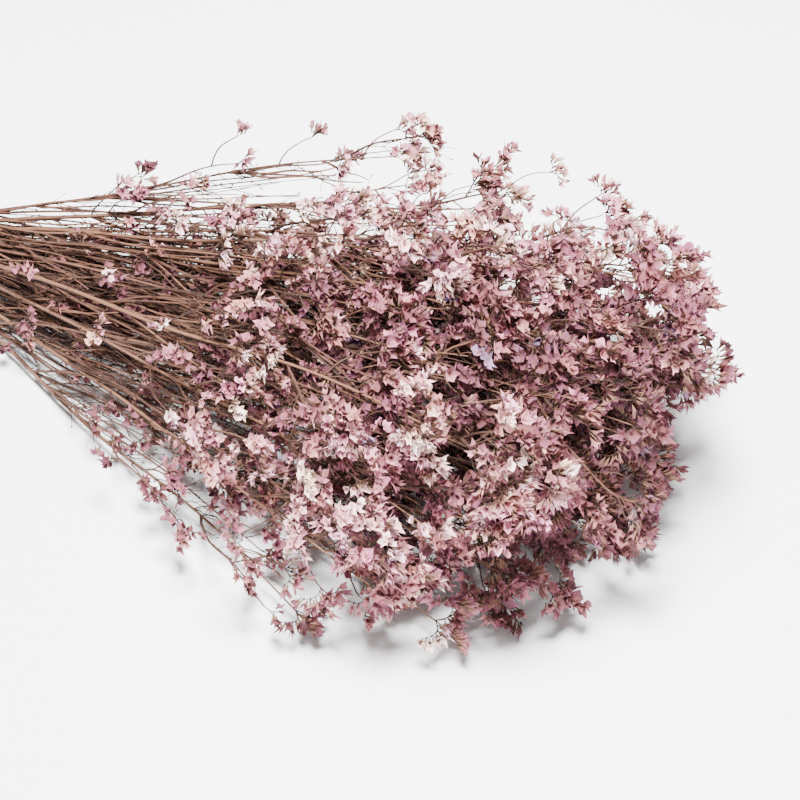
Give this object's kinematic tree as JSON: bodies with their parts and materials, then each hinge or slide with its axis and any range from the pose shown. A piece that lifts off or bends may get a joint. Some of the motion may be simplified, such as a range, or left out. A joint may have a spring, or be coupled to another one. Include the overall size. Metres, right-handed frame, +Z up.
{
  "type": "dried sea lavender bunch",
  "caption": "Loose bunch of dried sea lavender lying down: thin brown stems gathered at one end fan out into a wide, low mass of small dusty-pink papery pointed calyces.",
  "frame": {"origin": "on the resting surface, under the middle of the bounding box", "axes": "+X along the bunch from the cut stem ends to the flower tips, +Y across it, +Z up from the surface it lies on"},
  "size_m": [0.6266, 0.3252, 0.1833],
  "materials": {
    "calyx": "dull, papery, dusty pink fading to beige, with fine veins",
    "stem": "dull brown dried bark with tan ridges"
  },
  "bodies": {
    "root": {"spray_01": "calyx", "spray_02": "calyx", "spray_03": "calyx", "spray_04": "calyx", "spray_05": "calyx", "spray_06": "calyx", "spray_07": "calyx", "spray_08": "calyx", "spray_09": "calyx", "spray_10": "calyx", "spray_11": "calyx", "spray_12": "calyx", "spray_13": "calyx", "spray_14": "calyx", "spray_15": "calyx", "spray_16": "calyx", "spray_17": "calyx", "spray_18": "calyx", "spray_19": "calyx", "spray_20": "calyx", "spray_21": "calyx", "spray_22": "calyx", "spray_23": "calyx", "spray_24": "calyx", "spray_25": "calyx"}
  },
  "joints": []
}
